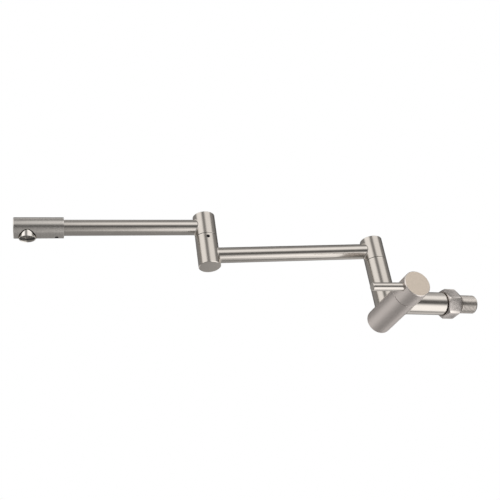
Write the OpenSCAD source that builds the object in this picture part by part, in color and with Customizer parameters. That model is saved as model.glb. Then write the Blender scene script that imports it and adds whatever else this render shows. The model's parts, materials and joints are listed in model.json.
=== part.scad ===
// Wall mounted pot filler with a double jointed arm and a side lever valve.
// Millimetres, +Z up, +X into the wall along the inlet axis.
// The origin is on the inlet axis, at the root of the male wall thread.
// The valve lies along Y, with its knob towards -Y.

/* [Wall thread] */
// Major diameter of the male wall thread
wall_thread_d = 20.955; // [15:0.005:24]
// Length of the male wall thread
wall_thread_len = 19; // [10:0.1:30]
// Chamfer on the tip of the wall thread
wall_thread_chamfer = 1.2; // [0.4:0.1:1.6]
// Water bore of the nipple
nipple_bore_d = 12.5; // [8:0.1:13.5]
// Size across flats of the key socket in the nipple
key_af = 12; // [8:0.5:13]
// Depth of the key socket
key_depth = 7; // [4:0.5:9]
// Radial depth of the run-out groove behind the wall thread
run_out_depth = 0.6; // [0.3:0.05:1]

/* [Union] */
// Size across flats of the union nut
nut_af = 29.8; // [29:0.1:36]
// Length of the union nut
nut_len = 21.4; // [20:0.1:32]
// Length of the cone at the wall end of the nut
nut_cone_len = 7; // [4:0.1:7.5]
// Length of the flat tapers that run into the cone from the nut's faces
nut_taper_len = 6; // [3.5:0.1:6.5]
// Length of the corner chamfer at the tube end of the nut
nut_lead_len = 2.4; // [1:0.1:6]
// Thickness of the end wall that pulls on the nipple's collar
nut_end_wall = 6; // [5:0.1:9]
// Gap from the nut's wall end to the root of the wall thread
nut_root_gap = 1; // [0.5:0.1:3]
// Depth of the shadow recess at the tube end of the nut
nut_recess_depth = 2.5; // [1:0.1:4]
// Radial width of the shadow recess round the tube
nut_recess_w = 0.9; // [0.4:0.05:1]
// Rotation of the nut's corners about the inlet axis
nut_turn = 3; // [-30:1:30]
// Diameter of the union thread on the inlet tube
union_thread_d = 25.8; // [24:0.1:26]
// Diameter of the nipple's collar
collar_d = 24.4; // [22.5:0.1:25]
// Thickness of the nipple's collar
collar_t = 2.8; // [2:0.1:4]
// Thickness of the union washer
washer_t = 2; // [1:0.1:3]
// Hole in the union washer
washer_hole_d = 16; // [13.5:0.1:18]

/* [Inlet tube] */
// Outside diameter of the inlet tube
inlet_tube_d = 26; // [26:0.1:28]
// Bore of the inlet tube
inlet_bore_d = 18; // [12:0.1:19]

/* [Valve body] */
// Distance from the root of the wall thread to the column axis
column_reach = 80; // [70:0.5:120]
// Distance along the valve from the inlet axis to the column axis
inlet_offset = 25; // [23:0.1:30]
// Outside diameter of the valve body
valve_d = 30.1; // [29.6:0.1:33]
// Length of the valve body behind the column axis
valve_back = 24.2; // [20:0.1:40]
// Length of the valve body in front of the column axis
valve_front = 44; // [44:0.1:50]
// Thickness of the closed back end of the valve body
valve_end_wall = 4; // [2:0.1:6]
// Rounding of the closed back end
valve_back_round = 1.2; // [0.4:0.1:3]
// Bore that holds the cartridge
cartridge_bore_d = 22; // [21:0.1:23]
// Depth of the cartridge bore from the front end
cartridge_bore_depth = 33; // [33:0.1:36]
// Bore of the outlet chamber behind the cartridge
chamber_d = 16; // [12:0.1:17]
// Bore that leads from the outlet chamber up the column
riser_bore_d = 15; // [10:0.1:16]

/* [Cartridge] */
// Diameter of the cartridge's barrel below its thread
barrel_d = 18.4; // [17.6:0.1:20]
// Length of the cartridge's thread
cartridge_thread_len = 9.5; // [6:0.1:10]
// Diameter of the cartridge's flange
flange_d = 24.8; // [23.5:0.1:25.6]
// Thickness of the cartridge's flange
flange_t = 2; // [1.5:0.1:3]
// Size across flats of the cartridge's hexagon
cartridge_hex_af = 19; // [16:0.5:21]
// Height of the cartridge's hexagon
cartridge_hex_h = 4.5; // [3:0.1:5]
// Diameter of the neck round the spindle
neck_d = 13.6; // [11.5:0.1:15]
// Height of the neck above the hexagon
neck_h = 4; // [2:0.1:4.5]
// Diameter of the disc chamber in the barrel
disc_room_d = 15.6; // [14.5:0.1:16]
// Diameter of the spindle
spindle_d = 9; // [8:0.1:9.5]
// Diameter over the teeth of the spindle's spline
spline_d = 8; // [7:0.1:8.6]
// Number of teeth on the spline
spline_teeth = 20; // [12:1:28]
// Depth of the spline's teeth
spline_tooth_h = 0.4; // [0.2:0.05:0.6]
// Length of the spline
spline_len = 10; // [7:0.1:10.5]
// Thickness of the fixed ceramic disc
fixed_disc_t = 3; // [2:0.1:3.5]
// Thickness of the turning ceramic disc
turning_disc_t = 2.6; // [2:0.1:3]
// Height of the seat seal
seat_seal_h = 2.4; // [1.5:0.1:3]
// Hole in the seat seal
seat_seal_hole_d = 12; // [8:0.1:12.4]
// Width of the tongue that drives the turning disc
tongue_w = 2.8; // [2:0.1:4]
// Length of the tongue across the disc
tongue_len = 13; // [9:0.1:13.4]

/* [Handle] */
// Outside diameter of the knob
knob_d = 30.7; // [30:0.1:34]
// Length of the knob
knob_len = 25.5; // [24.5:0.1:32]
// Seam between the knob and the valve body
knob_gap = 0.85; // [0.3:0.05:1]
// Diameter of the hollow in the knob
knob_hollow_d = 26.4; // [26.2:0.1:27]
// Depth of the hollow in the knob
knob_hollow_depth = 12.1; // [11.9:0.1:13]
// Chamfer round the knob's face
knob_chamfer = 0.7; // [0.3:0.1:1.5]
// Diameter of the lever rod
lever_d = 9.3; // [7:0.1:10]
// Distance from the knob's axis to the lever's free end
lever_reach = 52.5; // [30:0.5:90]
// Distance from the knob's face to the lever's axis
lever_set_back = 7.5; // [6.5:0.1:8.5]
// Droop of the closed lever below level
lever_droop = 1.9; // [-10:0.1:10]
// Diameter of the stud that screws through the knob's wall
lever_stud_d = 6; // [4:0.1:6.5]
// Depth that the lever rod is let into the knob
lever_let_in = 1.75; // [1:0.05:3]
// Chamfer on the lever's free end
lever_chamfer = 0.5; // [0.2:0.1:1.5]

/* [Column] */
// Outside diameter of the column
column_d = 26.2; // [25:0.1:29]
// Height of the column's seam above the inlet axis
column_seam_z = 67.3; // [50:0.1:120]

/* [Swivel joints] */
// Diameter of the spigot under each swivel head
spigot_d = 18; // [16:0.1:19]
// Length of the spigot
spigot_len = 14.2; // [13.8:0.1:14.4]
// Water bore through the spigot
spigot_bore_d = 11; // [7:0.1:12]
// Height of each swivel head
head_h = 28.6; // [26:0.1:36]
// Height of the arm's axis above the underside of its head
head_axis_h = 14.2; // [13:0.1:18]
// Seam between a swivel head and its socket
seam_gap = 0.5; // [0.3:0.05:1]
// Depth of the set screw's groove in the spigot
screw_groove_depth = 1.3; // [1:0.05:1.6]
// Width of the set screw's groove
screw_groove_w = 3.4; // [3:0.1:4]
// Distance from the seam to the set screw
screw_drop = 4.6; // [4:0.1:4.8]
// Thickness of an O-ring's cord
o_ring_t = 1.8; // [1.4:0.1:2]
// Distance from the seam to the first O-ring
o_ring_drop = 8.6; // [8.4:0.1:8.8]
// Spacing of the two O-rings on a spigot
o_ring_pitch = 3.2; // [3:0.1:3.4]

/* [Arms] */
// Outside diameter of both arm tubes
arm_d = 18; // [14:0.1:18.2]
// Wall of both arm tubes
arm_wall = 1.5; // [0.8:0.1:3]
// Distance from the column axis to the elbow axis
inner_arm_len = 200.5; // [120:0.5:350]
// Distance from the elbow axis to the outlet axis
outer_arm_len = 199.5; // [120:0.5:350]
// Swing of the inner arm from straight out of the wall
inner_swing = 7.9; // [-80:0.1:80]
// Swing of the outer arm from straight out of the wall
outer_swing = 6.26; // [-80:0.01:80]
// Distance from a post's axis to the arm tube's end in it
arm_end_inset = 7; // [6:0.1:8]

/* [Elbow] */
// Outside diameter of the elbow
elbow_d = 25.6; // [25:0.1:29]
// Height of the elbow socket above the inner arm's axis
elbow_socket_up = 23.65; // [23.6:0.05:26]
// Depth of the elbow socket below the inner arm's axis
elbow_socket_down = 14.9; // [13:0.1:18]
// Thickness of the elbow socket's floor
elbow_floor = 3; // [2:0.1:3.5]
// Chamfer round the elbow's foot
elbow_foot_chamfer = 0.7; // [0.2:0.1:1.2]
// Chamfer on the ends of the column, elbow and heads
end_chamfer = 0.4; // [0.2:0.1:1]

/* [Spout] */
// Outside diameter of the spout sleeve
sleeve_d = 23.5; // [23.1:0.1:26]
// Length of the sleeve from the outlet axis to its closed end
sleeve_tip = 14.9; // [14.3:0.1:20]
// Length of the sleeve from the outlet axis towards the elbow
sleeve_tail = 39.2; // [36:0.1:60]
// Thickness of the sleeve's closed end
sleeve_end_wall = 3.4; // [2:0.1:4]
// Rounding of the sleeve's closed end
sleeve_round = 1; // [0.3:0.1:2]
// Distance from the outlet axis to the end of the arm tube
tube_stop = 15; // [13:0.1:16]
// Distance from the sleeve's open end to its set screw
spout_screw_in = 7.8; // [4:0.1:10]
// Turn of the spout sleeve on the arm tube, which swings the nozzle away from the knob's side
spout_turn = 6.5; // [-20:0.1:20]
// Diameter of the collar that seats the nozzle in the sleeve
nozzle_d = 20.2; // [19.4:0.1:20.6]
// Length of the nozzle below the arm's axis
nozzle_drop = 13.4; // [13.1:0.1:18]
// Height of the nozzle that is let into the sleeve
nozzle_let_in = 10.8; // [10.4:0.1:11]
// Diameter of the nozzle below its collar, which leaves a shadow gap in the sleeve's hole
nozzle_neck_d = 18.3; // [18.3:0.1:19.2]
// Height of the nozzle's collar
nozzle_seat_h = 2.8; // [2:0.1:3.2]
// Chamfer inside the nozzle's mouth
nozzle_mouth_chamfer = 0.5; // [0.3:0.1:0.5]
// Thread diameter of the aerator in the nozzle
aerator_d = 16.6; // [15.6:0.1:16.8]
// Recess of the aerator above the nozzle's mouth
aerator_recess = 2.8; // [1.2:0.1:3.6]
// Height of the aerator
aerator_h = 4.9; // [4.5:0.1:5]
// Wall of the aerator's cage
aerator_wall = 1.1; // [0.7:0.1:1.4]
// Thickness of the aerator's washer
aerator_washer_t = 1.3; // [0.8:0.1:1.5]
// Hole in the aerator's washer
aerator_washer_hole_d = 13; // [10:0.1:13.5]
// Gaps across the aerator's grid
grid_count = 8; // [5:1:10]
// Width of the bars of the aerator's grid
grid_bar = 0.5; // [0.3:0.05:0.7]

/* [Set screws] */
// Diameter of the set screws
set_screw_d = 4; // [3:0.1:4.4]
// Size across flats of the set screws' key sockets
set_screw_af = 2; // [1.3:0.1:2.2]
// Depth of a set screw's head below the surface
set_screw_sink = 0.6; // [0.2:0.05:0.8]
// Diameter of a set screw's dog point
dog_d = 2.6; // [2:0.1:2.6]
// Direction of the column's set screw round the column
column_screw_azimuth = 40; // [-60:1:60]

/* [Clearances] */
// Radial clearance of a turning fit
running_gap = 0.05; // [0.02:0.01:0.09]
// Radial clearance of a brazed, screwed or pressed fit
fixed_gap = 0.05; // [0.02:0.01:0.1]
// Clearance between parts that face each other without a fit
free_gap = 0.3; // [0.2:0.05:0.4]

/* [Hidden] */

$fn = 96;
nickel = [0.70, 0.67, 0.63];
chrome = [0.82, 0.83, 0.85];
brass = [0.78, 0.62, 0.30];
rubber = [0.10, 0.10, 0.10];
nylon = [0.20, 0.20, 0.21];
ceramic = [0.93, 0.92, 0.89];
plastic = [0.62, 0.63, 0.64];

// Depth by which a cutting shape passes a face, and the break on a machined edge
cut = 1;
edge_break = 0.2;

// Stations along the inlet axis, counted from the root of the wall thread
nut_face_x = -nut_root_gap;
shoulder_x = nut_face_x - nut_end_wall;
collar_x = shoulder_x - collar_t;
tube_end_x = collar_x - washer_t;
nut_open_x = nut_face_x - nut_len;
union_thread_x = nut_open_x + nut_recess_depth;
nipple_neck_r = wall_thread_d / 2 - run_out_depth;
nut_hole_r = wall_thread_d / 2 + free_gap;
nut_corner_r = nut_af / 2 / cos(30);
nut_lip_w = 1;
nut_nose_w = 0.3;
nut_lead_r = inlet_tube_d / 2 + nut_recess_w + nut_lip_w;
nut_cone_r = nut_hole_r + nut_nose_w;
nut_taper_angle = atan((nut_af / 2 - nut_cone_r) / nut_taper_len);

// Stations along the valve axis, counted from the column axis towards the knob
valve_r = valve_d / 2;
seat_ledge = valve_front - cartridge_bore_depth;
fixed_disc_at = seat_ledge + seat_seal_h;
turning_disc_at = fixed_disc_at + fixed_disc_t + running_gap;
turning_disc_top = turning_disc_at + turning_disc_t;
tongue_tip = turning_disc_top - turning_disc_t / 2;
window_h = 5;
window_w = 9;
drive_flange_at = turning_disc_top + window_h + running_gap;
drive_flange_t = 2.5;
disc_room_top = drive_flange_at + drive_flange_t + running_gap;
barrel_end = seat_ledge + 2 * free_gap;
hex_at = valve_front + flange_t;
neck_at = hex_at + cartridge_hex_h;
neck_top = neck_at + neck_h;
knob_at = valve_front + knob_gap;
knob_face = knob_at + knob_len;
knob_floor = knob_at + knob_hollow_depth;
spline_at = neck_top + 1;
spline_top = spline_at + spline_len;
lever_at = knob_face - lever_set_back;
lever_seat = knob_d / 2 - lever_let_in;
disc_d = disc_room_d - 2 * running_gap;
port_inner_r = 2;
port_rim_w = 1.5;
port_half_angle = 40;
spindle_ring_at = [valve_front - 6, valve_front];

// Heights of the arms, and turns of the arms about the posts
inner_axis_z = column_seam_z + head_axis_h;
elbow_seam_z = inner_axis_z + elbow_socket_up;
outer_axis_z = elbow_seam_z + head_axis_h;
inner_azimuth = 180 - inner_swing;
outer_azimuth = 180 - outer_swing;
arm_bore_d = arm_d - 2 * arm_wall;
arm_ledge_w = 0.5;
arm_port_r = arm_bore_d / 2 - arm_ledge_w;
spigot_r = spigot_d / 2;
spigot_lead = 0.4;
socket_lead = 0.5;
groove_w = o_ring_t + 0.4;
socket_r = spigot_r + running_gap;
socket_depth = spigot_len + free_gap;
screw_groove_r = spigot_r - screw_groove_depth;
dog_end_r = screw_groove_r + free_gap;
elbow_screw_azimuth = inner_azimuth + 90;

// Stations along the outer arm and heights at the outlet, counted from the outlet axis on the arm's axis
spout_ring_at = -tube_stop - 4;
nozzle_top = nozzle_let_in - nozzle_drop;
aerator_bottom = aerator_recess - nozzle_drop;
aerator_top = aerator_bottom + aerator_h;
aerator_seat = aerator_top + aerator_washer_t;
aerator_lip_h = 0.4;
aerator_lip_w = 0.5;
diffuser_t = 1.4;
diffuser_holes = 12;
diffuser_hole_r = 0.7;
cage_d = aerator_d - 2 * fixed_gap;
cage_bore_d = cage_d - 2 * aerator_wall;
grid_t = 0.5;
grid_rim_w = 0.6;
grid_d = cage_bore_d - 2 * fixed_gap;

// Points on an arc about [x, y], from angle a to angle b
function arc(x, y, r, a, b, steps = 6) =
    [for (i = [0:steps]) [x + r * cos(a + (b - a) * i / steps), y + r * sin(a + (b - a) * i / steps)]];

// Local Z runs along the inlet axis into the wall
module along_inlet() {
    rotate([0, 90, 0])
        children();
}

// Local Z runs along the valve towards the knob, local Y is up
module along_valve() {
    translate([-column_reach, inlet_offset, 0])
        rotate([90, 0, 0])
            children();
}

// Local Z runs up the column axis
module at_column() {
    translate([-column_reach, inlet_offset, 0])
        children();
}

// Local X runs along the inner arm, at the level of the inlet axis
module at_inner_arm() {
    at_column()
        rotate([0, 0, inner_azimuth])
            children();
}

// Local Z runs up the elbow axis, local X along the outer arm
module at_elbow() {
    at_inner_arm()
        translate([inner_arm_len, 0, 0])
            rotate([0, 0, outer_azimuth - inner_azimuth])
                children();
}

// Local origin on the outlet axis at the height of the outer arm's axis, local X along the outer arm
module at_outlet() {
    at_elbow()
        translate([outer_arm_len, 0, outer_axis_z])
            rotate([-spout_turn, 0, 0])
                children();
}

// Local Z runs away from a post along its arm
module along_arm(z) {
    translate([0, 0, z])
        rotate([0, 90, 0])
            children();
}

// A cylinder between two stations with a chamfer at each end
module chamfered_post(d, low, high, low_chamfer, high_chamfer) {
    rotate_extrude()
        polygon([
            [0, low],
            [d / 2 - low_chamfer, low],
            [d / 2, low + low_chamfer],
            [d / 2, high - high_chamfer],
            [d / 2 - high_chamfer, high],
            [0, high]
        ]);
}

// A drilling between two stations
module drill(r, low, high) {
    translate([0, 0, low])
        cylinder(h = high - low, r = r);
}

// A hexagonal prism measured across its flats
module hex_prism(af, low, high) {
    translate([0, 0, low])
        cylinder(h = high - low, r = af / 2 / cos(30), $fn = 6);
}

// An O-ring whose cord's centre runs at the given radius
module o_ring(r, z) {
    translate([0, 0, z])
        rotate_extrude()
            translate([r, 0])
                circle(d = o_ring_t, $fn = 32);
}

// The groove that holds an O-ring in a shaft, as a ring to cut away
module shaft_groove(shaft_r, z, w, depth) {
    translate([0, 0, z - w / 2])
        difference() {
            cylinder(h = w, r = shaft_r + cut);
            translate([0, 0, -cut])
                cylinder(h = w + 2 * cut, r = shaft_r - depth);
        }
}

// Outline of a toothed shaft
module spline_outline(tip_r) {
    step = 180 / spline_teeth;
    polygon([for (i = [0:2 * spline_teeth - 1])
        (tip_r - (i % 2) * spline_tooth_h) * [cos(i * step), sin(i * step)]]);
}

// Two opposite quarter openings of a ceramic disc
module disc_ports(turn) {
    for (side = [0, 180])
        rotate([0, 0, turn + side])
            polygon(concat(
                arc(0, 0, disc_d / 2 - port_rim_w, -port_half_angle, port_half_angle, 8),
                arc(0, 0, port_inner_r, port_half_angle, -port_half_angle, 4)
            ));
}

// A set screw with its key socket up, from its seat to its head
module set_screw(seat, head, dog) {
    dog_len = seat - dog;
    socket_depth = min(2, (head - seat) * 0.6);
    difference() {
        union() {
            chamfered_post(set_screw_d - 2 * fixed_gap, seat, head, edge_break, edge_break);
            if (dog_len > 0)
                drill(dog_d / 2, dog, seat + cut);
        }
        hex_prism(set_screw_af, head - socket_depth, head + cut);
    }
}

// Tilts a child's Z axis outwards to a bearing round a post
module radial(azimuth, z) {
    translate([0, 0, z])
        rotate([0, 0, azimuth])
            rotate([0, 90, 0])
                children();
}

// A swivel head: a post with the arm's socket, over a grooved spigot
module swivel_head(d) {
    difference() {
        union() {
            chamfered_post(d, 0, head_h, edge_break, end_chamfer);
            chamfered_post(spigot_d, -spigot_len, cut, spigot_lead, 0);
        }
        drill(spigot_bore_d / 2, -spigot_len - cut, head_axis_h);
        along_arm(head_axis_h) {
            drill(arm_port_r, 0, arm_end_inset + cut);
            drill(arm_d / 2 + fixed_gap, arm_end_inset, d);
        }
        shaft_groove(spigot_r, -screw_drop - seam_gap, screw_groove_w, screw_groove_depth);
        for (i = [0, 1])
            shaft_groove(spigot_r, -o_ring_drop - i * o_ring_pitch, groove_w, o_ring_t);
    }
}

// The pair of O-rings on a spigot
module spigot_rings() {
    for (i = [0, 1])
        o_ring(spigot_r - o_ring_t / 2, -o_ring_drop - i * o_ring_pitch);
}

// The thrust washer in a swivel's seam
module seam_washer(d) {
    washer_clear = running_gap;
    translate([0, 0, washer_clear - seam_gap])
        difference() {
            cylinder(h = seam_gap - 2 * washer_clear, r = d / 2 - 0.5);
            translate([0, 0, -cut])
                cylinder(h = seam_gap + 2 * cut, r = spigot_r + free_gap);
        }
}

// The socket bore under a seam, with its lead-in, as a shape to cut away
module spigot_socket() {
    drill(socket_r, -seam_gap - socket_depth, cut);
    translate([0, 0, -seam_gap - socket_lead])
        cylinder(h = socket_lead + cut, r1 = socket_r, r2 = socket_r + socket_lead + cut);
}

module inlet_nipple() {
    color(nickel)
        along_inlet()
            difference() {
                rotate_extrude()
                    polygon([
                        [0, collar_x],
                        [collar_d / 2, collar_x],
                        [collar_d / 2, shoulder_x],
                        [nipple_neck_r, shoulder_x],
                        [nipple_neck_r, 0],
                        [wall_thread_d / 2, 0],
                        [wall_thread_d / 2, wall_thread_len - wall_thread_chamfer],
                        [wall_thread_d / 2 - wall_thread_chamfer, wall_thread_len],
                        [0, wall_thread_len]
                    ]);
                drill(nipple_bore_d / 2, collar_x + key_depth, wall_thread_len + cut);
                hex_prism(key_af, collar_x - cut, collar_x + key_depth + 0.01);
            }
}

module union_washer() {
    color(rubber)
        along_inlet()
            difference() {
                drill(collar_d / 2, tube_end_x, collar_x);
                drill(washer_hole_d / 2, tube_end_x - cut, collar_x + cut);
            }
}

module union_nut() {
    thread_r = union_thread_d / 2 + fixed_gap;
    recess_r = inlet_tube_d / 2 + nut_recess_w;
    color(nickel)
        along_inlet()
            difference() {
                intersection() {
                    rotate([0, 0, nut_turn])
                        rotate([0, 0, 30])
                            hex_prism(nut_af, nut_open_x, nut_face_x);
                    rotate_extrude()
                        polygon([
                            [0, nut_open_x],
                            [nut_lead_r, nut_open_x],
                            [nut_corner_r + 0.1, nut_open_x + nut_lead_len],
                            [nut_corner_r + 0.1, nut_face_x - nut_cone_len],
                            [nut_cone_r, nut_face_x],
                            [0, nut_face_x]
                        ]);
                }
                for (i = [0:5])
                    rotate([0, 0, nut_turn + 60 * i])
                        translate([nut_af / 2, -nut_af, nut_face_x - nut_taper_len])
                            rotate([0, -nut_taper_angle, 0])
                                cube(2 * nut_af);
                drill(recess_r, nut_open_x - cut, union_thread_x);
                drill(thread_r, nut_open_x - cut, shoulder_x);
                drill(nut_hole_r, shoulder_x - cut, nut_face_x + cut);
            }
}

module inlet_tube() {
    color(nickel)
        difference() {
            along_inlet()
                difference() {
                    union() {
                        drill(inlet_tube_d / 2, -column_reach, union_thread_x);
                        drill(union_thread_d / 2, -column_reach, tube_end_x);
                    }
                    drill(inlet_bore_d / 2, -column_reach - cut, tube_end_x + cut);
                }
            along_valve()
                drill(valve_r + fixed_gap, -valve_back - inlet_tube_d, valve_front + inlet_tube_d);
        }
}

module valve_body() {
    back = -valve_back;
    color(nickel)
        along_valve()
            difference() {
                rotate_extrude()
                    polygon(concat(
                        [[0, back]],
                        arc(valve_r - valve_back_round, back + valve_back_round, valve_back_round, -90, 0),
                        [[valve_r, valve_front - edge_break], [valve_r - edge_break, valve_front], [0, valve_front]]
                    ));
                drill(cartridge_bore_d / 2, seat_ledge, valve_front + cut);
                drill(chamber_d / 2, back + valve_end_wall, seat_ledge + cut);
                translate([0, 0, inlet_offset])
                    rotate([0, 90, 0])
                        drill(inlet_bore_d / 2, 0, valve_d);
                rotate([-90, 0, 0])
                    drill(riser_bore_d / 2, 0, valve_d);
            }
}

module cartridge_body() {
    barrel_r = barrel_d / 2;
    color(brass)
        along_valve()
            difference() {
                union() {
                    drill(barrel_r, barrel_end, valve_front);
                    drill(cartridge_bore_d / 2 - fixed_gap, valve_front - cartridge_thread_len, valve_front);
                    chamfered_post(flange_d, valve_front, hex_at, 0, edge_break);
                    hex_prism(cartridge_hex_af, hex_at - cut, neck_at);
                    chamfered_post(neck_d, neck_at - cut, neck_top, 0, edge_break);
                }
                drill(disc_room_d / 2, barrel_end - cut, disc_room_top);
                drill(spindle_d / 2 + running_gap, disc_room_top - cut, neck_top + cut);
                translate([0, 0, turning_disc_top + window_h / 2])
                    cube([barrel_d + 2 * cut, window_w, window_h], center = true);
            }
}

module cartridge_seat_seal() {
    color(rubber)
        along_valve()
            difference() {
                drill(disc_d / 2, seat_ledge, fixed_disc_at);
                drill(seat_seal_hole_d / 2, seat_ledge - cut, fixed_disc_at + cut);
            }
}

module fixed_ceramic_disc() {
    color(ceramic)
        along_valve()
            translate([0, 0, fixed_disc_at])
                linear_extrude(fixed_disc_t)
                    difference() {
                        circle(d = disc_d);
                        disc_ports(0);
                    }
}

module turning_ceramic_disc() {
    slot_depth = turning_disc_top - tongue_tip + fixed_gap;
    color(ceramic)
        along_valve()
            rotate([0, 0, lever_droop])
                difference() {
                    translate([0, 0, turning_disc_at])
                        linear_extrude(turning_disc_t)
                            difference() {
                                circle(d = disc_d - 2 * running_gap);
                                disc_ports(90);
                            }
                    translate([0, 0, turning_disc_top - slot_depth / 2 + cut / 2])
                        cube([tongue_len + 2 * fixed_gap, tongue_w + 2 * fixed_gap, slot_depth + cut], center = true);
                }
}

module cartridge_spindle() {
    drive_r = disc_room_d / 2 - 2 * running_gap;
    color(brass)
        along_valve()
            rotate([0, 0, lever_droop])
                difference() {
                    union() {
                        translate([-tongue_len / 2, -tongue_w / 2, tongue_tip])
                            cube([tongue_len, tongue_w, drive_flange_at - tongue_tip + cut]);
                        drill(drive_r, drive_flange_at, drive_flange_at + drive_flange_t);
                        drill(spindle_d / 2, drive_flange_at, spline_at);
                        translate([0, 0, spline_at - cut])
                            linear_extrude(spline_len + cut)
                                spline_outline(spline_d / 2);
                    }
                    for (z = spindle_ring_at)
                        shaft_groove(spindle_d / 2, z, groove_w, o_ring_t);
                }
}

module spindle_o_rings() {
    color(rubber)
        along_valve()
            for (z = spindle_ring_at)
                o_ring(spindle_d / 2 - o_ring_t / 2, z);
}

module knob() {
    color(nickel)
        along_valve()
            rotate([0, 0, lever_droop])
                difference() {
                    chamfered_post(knob_d, knob_at, knob_face, edge_break, knob_chamfer);
                    drill(knob_hollow_d / 2, knob_at - cut, knob_floor);
                    translate([0, 0, knob_floor - cut])
                        linear_extrude(spline_top - knob_floor + cut + free_gap)
                            spline_outline(spline_d / 2 + fixed_gap);
                    radial(180, lever_at) {
                        drill(lever_stud_d / 2 + fixed_gap, 0, lever_seat + cut);
                        drill(lever_d / 2 + fixed_gap, lever_seat, knob_d);
                    }
                }
}

module lever_rod() {
    stud_end = spline_d / 2 + free_gap;
    color(nickel)
        along_valve()
            rotate([0, 0, lever_droop])
                radial(180, lever_at) {
                    chamfered_post(lever_d, lever_seat, lever_reach, edge_break, lever_chamfer);
                    chamfered_post(lever_stud_d, stud_end, lever_seat + cut, edge_break, 0);
                }
}

module column_tube() {
    top = column_seam_z - seam_gap;
    color(nickel)
        at_column()
            difference() {
                chamfered_post(column_d, 0, top, 0, edge_break);
                drill(riser_bore_d / 2, -cut, top);
                translate([0, 0, column_seam_z])
                    spigot_socket();
                radial(column_screw_azimuth, top - screw_drop)
                    drill(set_screw_d / 2, 0, column_d);
                rotate([90, 0, 0])
                    drill(valve_r + fixed_gap, -column_d, column_d);
            }
}

module column_set_screw() {
    color(rubber)
        at_column()
            radial(column_screw_azimuth, column_seam_z - seam_gap - screw_drop)
                set_screw(socket_r + 0.2, column_d / 2 - set_screw_sink, dog_end_r);
}

module column_head() {
    color(nickel)
        at_inner_arm()
            translate([0, 0, column_seam_z])
                swivel_head(column_d);
}

module column_o_rings() {
    color(rubber)
        at_inner_arm()
            translate([0, 0, column_seam_z])
                spigot_rings();
}

module column_washer() {
    color(nylon)
        at_inner_arm()
            translate([0, 0, column_seam_z])
                seam_washer(column_d);
}

module inner_arm_tube() {
    color(nickel)
        at_inner_arm()
            along_arm(inner_axis_z)
                difference() {
                    drill(arm_d / 2, arm_end_inset, inner_arm_len - arm_end_inset);
                    drill(arm_bore_d / 2, 0, inner_arm_len);
                }
}

module elbow_socket() {
    bottom = inner_axis_z - elbow_socket_down;
    top = elbow_seam_z - seam_gap;
    color(nickel)
        at_inner_arm()
            translate([inner_arm_len, 0, 0])
                difference() {
                    chamfered_post(elbow_d, bottom, top, elbow_foot_chamfer, edge_break);
                    drill(arm_bore_d / 2, bottom + elbow_floor, top);
                    translate([0, 0, elbow_seam_z])
                        spigot_socket();
                    rotate([0, 0, 180])
                        along_arm(inner_axis_z) {
                            drill(arm_port_r, 0, arm_end_inset + cut);
                            drill(arm_d / 2 + fixed_gap, arm_end_inset, elbow_d);
                        }
                    rotate([0, 0, elbow_screw_azimuth - inner_azimuth])
                        radial(0, top - screw_drop)
                            drill(set_screw_d / 2, 0, elbow_d);
                }
}

module elbow_set_screw() {
    color(rubber)
        at_inner_arm()
            translate([inner_arm_len, 0, 0])
                radial(elbow_screw_azimuth - inner_azimuth, elbow_seam_z - seam_gap - screw_drop)
                    set_screw(socket_r + 0.2, elbow_d / 2 - set_screw_sink, dog_end_r);
}

module elbow_head() {
    color(nickel)
        at_elbow()
            translate([0, 0, elbow_seam_z])
                swivel_head(elbow_d);
}

module elbow_o_rings() {
    color(rubber)
        at_elbow()
            translate([0, 0, elbow_seam_z])
                spigot_rings();
}

module elbow_washer() {
    color(nylon)
        at_elbow()
            translate([0, 0, elbow_seam_z])
                seam_washer(elbow_d);
}

module outer_arm_tube() {
    color(nickel)
        at_elbow()
            along_arm(outer_axis_z)
                difference() {
                    drill(arm_d / 2, arm_end_inset, outer_arm_len - tube_stop);
                    drill(arm_bore_d / 2, 0, outer_arm_len);
                }
}

module spout_sleeve() {
    sleeve_r = sleeve_d / 2;
    color(nickel)
        at_outlet()
            difference() {
                rotate([0, 90, 0])
                    difference() {
                        rotate_extrude()
                            polygon(concat(
                                [[0, -sleeve_tail], [sleeve_r - edge_break, -sleeve_tail]],
                                [[sleeve_r, edge_break - sleeve_tail]],
                                arc(sleeve_r - sleeve_round, sleeve_tip - sleeve_round, sleeve_round, 0, 90),
                                [[0, sleeve_tip]]
                            ));
                        drill(arm_d / 2 + fixed_gap, -sleeve_tail - cut, -tube_stop);
                        drill(arm_bore_d / 2, -tube_stop - cut, sleeve_tip - sleeve_end_wall);
                        drill(arm_d / 2 + o_ring_t, spout_ring_at - groove_w / 2, spout_ring_at + groove_w / 2);
                    }
                drill(nozzle_d / 2 + fixed_gap, -sleeve_d, nozzle_top);
                translate([spout_screw_in - sleeve_tail, 0, -sleeve_d])
                    cylinder(h = sleeve_d, r = set_screw_d / 2);
            }
}

module spout_set_screw() {
    color(rubber)
        at_outlet()
            translate([spout_screw_in - sleeve_tail, 0, 0])
                rotate([180, 0, 0])
                    set_screw(arm_d / 2 + 0.02, sleeve_d / 2 - set_screw_sink / 2, arm_d / 2 + 0.02);
}

module spout_o_ring() {
    color(rubber)
        at_outlet()
            rotate([0, 90, 0])
                o_ring(arm_d / 2 + o_ring_t / 2, spout_ring_at);
}

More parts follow.
